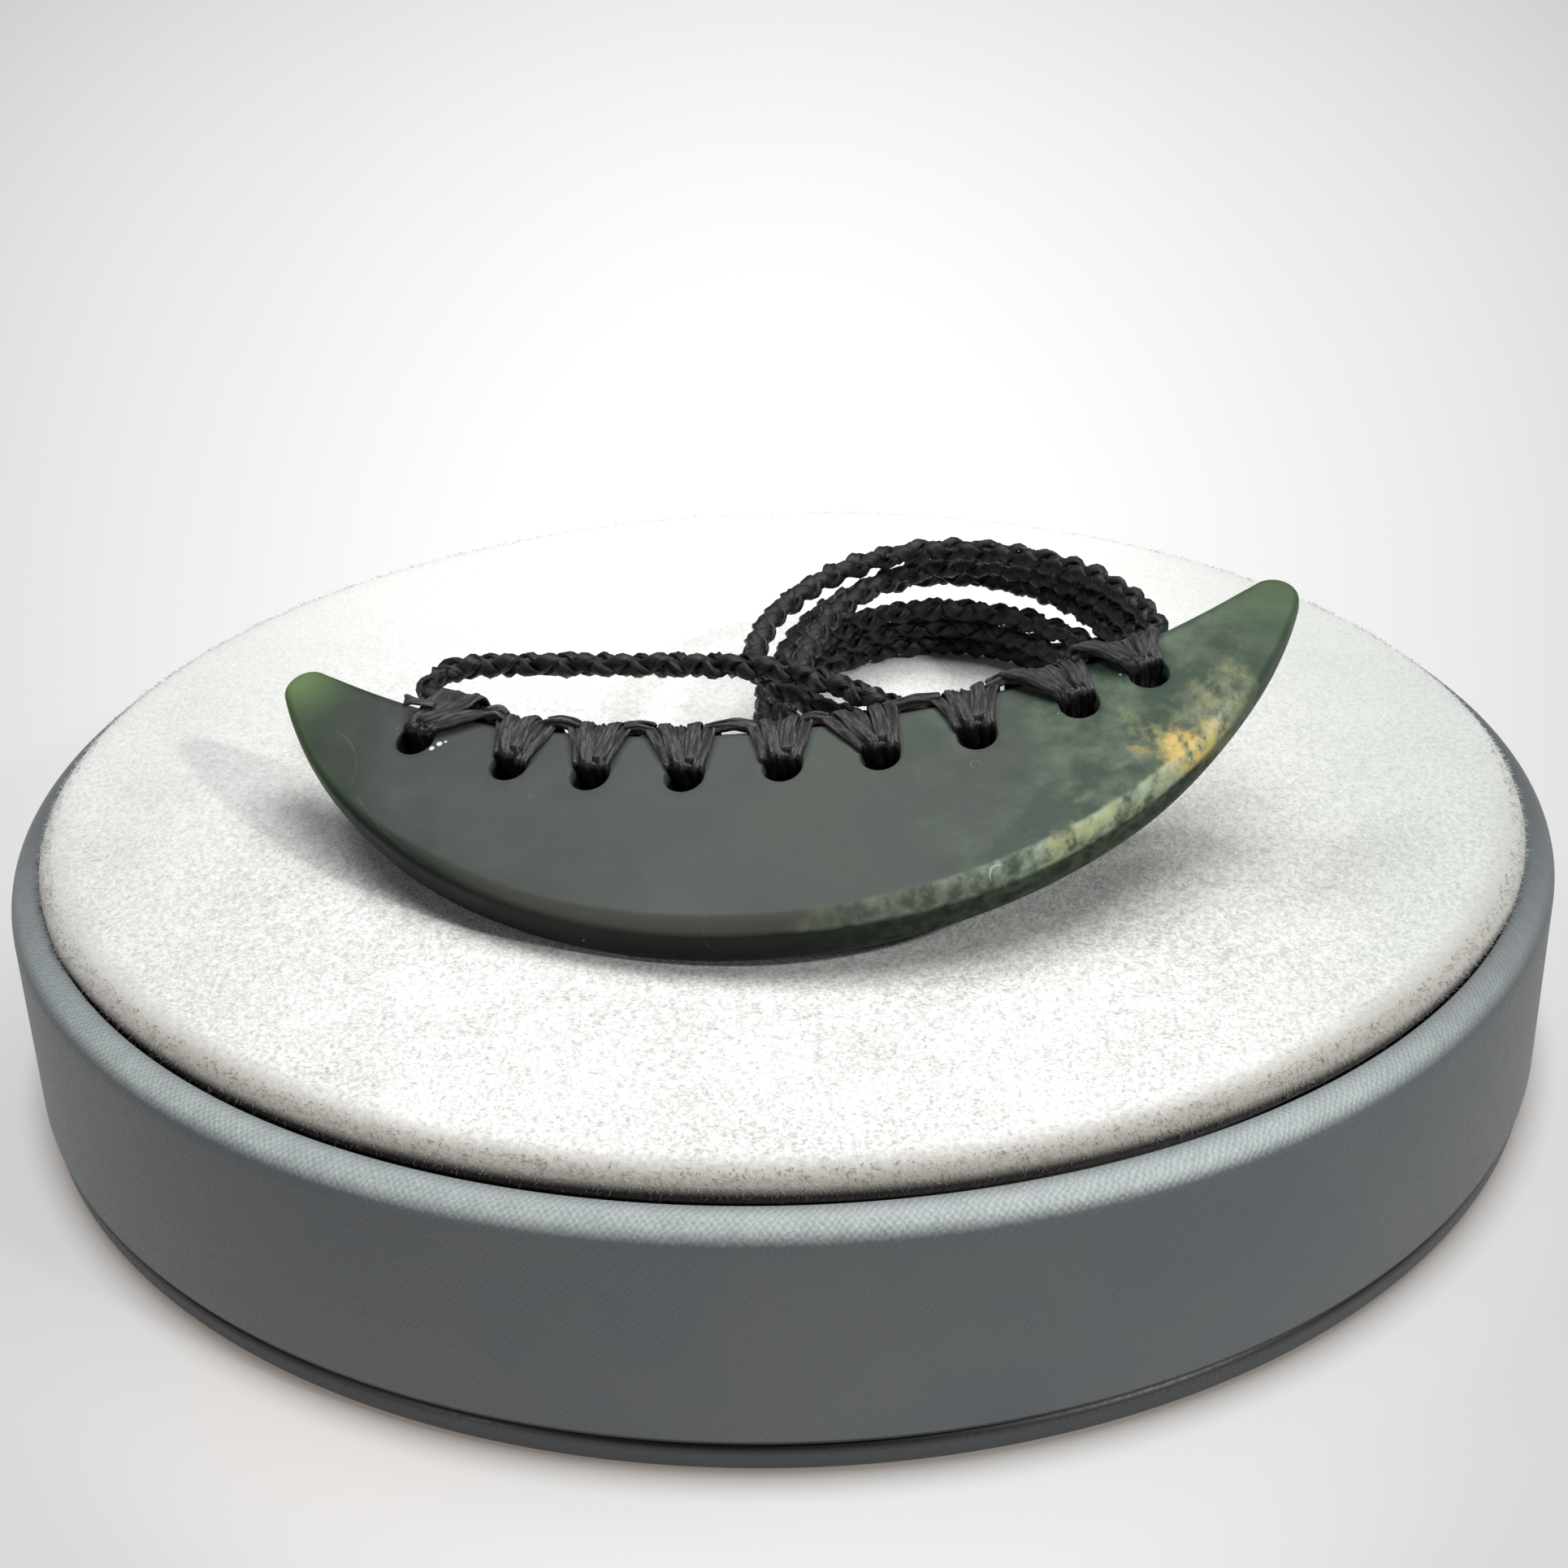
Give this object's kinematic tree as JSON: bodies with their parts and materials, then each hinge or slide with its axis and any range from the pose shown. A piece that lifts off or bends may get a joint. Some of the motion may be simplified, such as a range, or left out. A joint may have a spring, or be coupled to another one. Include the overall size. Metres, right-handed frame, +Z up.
{
  "type": "jade shield pendant on round display stand",
  "caption": "Crescent jade shield pendant with a lashed top edge and coiled black twisted cord, lying on a round grey display stand with a pale suede pad.",
  "frame": {"origin": "middle of the stand's underside, where the stand meets the table", "axes": "+Z up out of the stand; the shield's curved lower edge faces -Y, towards the viewer; +X is the viewer's right"},
  "size_m": [0.13, 0.13, 0.0408],
  "materials": {
    "jade": "satin",
    "cord": "matte",
    "thread": "satin",
    "suede": "matte",
    "leatherette": "satin"
  },
  "bodies": {
    "root": {"jade_shield": "jade", "edge_thread": "thread", "binding_1": "thread", "binding_2": "thread", "binding_3": "thread", "binding_4": "thread", "binding_5": "thread", "binding_6": "thread", "binding_7": "thread", "binding_8": "thread", "binding_9": "thread", "neck_cord": "cord", "cord_coil": "cord", "cord_tail": "cord", "stand_pad": "suede", "stand_body": "leatherette", "stand_foot": "leatherette"}
  },
  "joints": []
}
